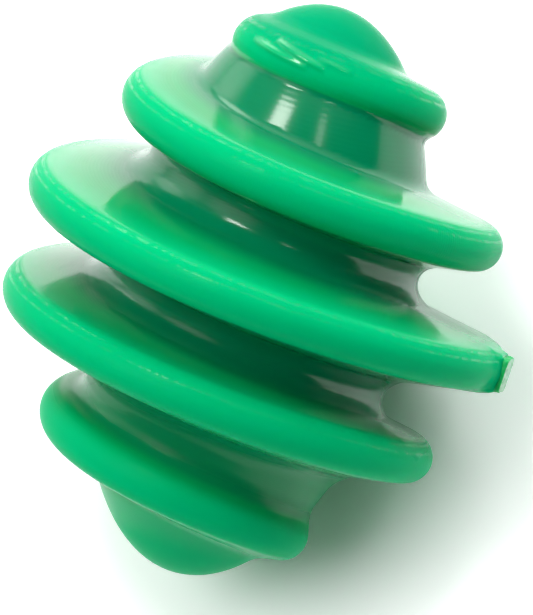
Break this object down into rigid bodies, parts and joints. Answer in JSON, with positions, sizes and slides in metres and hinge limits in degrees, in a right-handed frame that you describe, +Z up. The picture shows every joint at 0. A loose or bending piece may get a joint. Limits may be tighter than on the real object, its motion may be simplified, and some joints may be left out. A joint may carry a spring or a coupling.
{
  "type": "rubber chew toy",
  "caption": "Solid rubber chew toy: an egg-shaped core wound with one spiral flange whose grooves take a dog's teeth. It lies on its rims.",
  "frame": {"origin": "middle of the toy's bounding box on the floor that it lies on", "axes": "+X along the toy's long axis as seen from above, towards its raised end; +Z up from the floor"},
  "size_m": [0.0834, 0.0785, 0.0743],
  "materials": {
    "rubber": "glossy, slightly translucent",
    "cut_rubber": "rough cut face"
  },
  "bodies": {
    "root": {"core": "rubber", "spiral_turn_1": "rubber", "spiral_turn_2": "rubber", "spiral_turn_3": "rubber", "spiral_turn_4": "rubber", "spiral_turn_5": "rubber", "gate_nub": "cut_rubber"}
  },
  "joints": []
}
